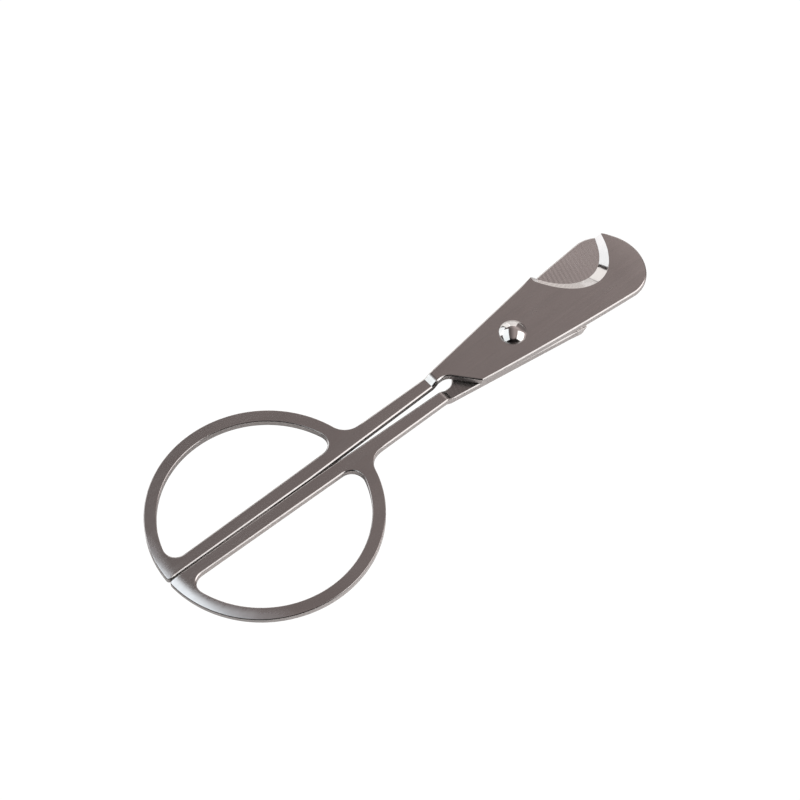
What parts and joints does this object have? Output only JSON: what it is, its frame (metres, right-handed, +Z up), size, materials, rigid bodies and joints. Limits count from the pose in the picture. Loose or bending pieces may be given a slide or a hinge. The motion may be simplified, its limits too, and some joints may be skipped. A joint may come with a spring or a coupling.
{
  "type": "wick trimmer",
  "caption": "Scissors-type wick trimmer in brushed steel, with crescent-notched blades crossing on a domed rivet and a round handle split into finger loops.",
  "frame": {"origin": "on the pivot axis, in the plane that the closed trimmer rests on: the centre of the rivet tail's flat foot", "axes": "+X from the handles towards the blades' nose, +Y towards the upper lever's finger loop, +Z up along the pivot axis towards the rivet's domed head"},
  "size_m": [0.1556, 0.0602, 0.0072],
  "materials": {
    "lever_steel": "satin, brushed along the length; notch bevels polished",
    "rivet_metal": "mirror polished",
    "washer_steel": "plain rolled"
  },
  "bodies": {
    "lower": {"lower_lever": "lever_steel", "pivot_rivet": "rivet_metal", "rivet_washer": "washer_steel"},
    "upper": {"upper_lever": "lever_steel"}
  },
  "joints": [
    {"name": "blade_pivot", "type": "hinge", "parent": "lower", "child": "upper", "pos_m": [0, 0, 0], "axis": [0, 0, -1], "range_deg": [0, 142]}
  ]
}
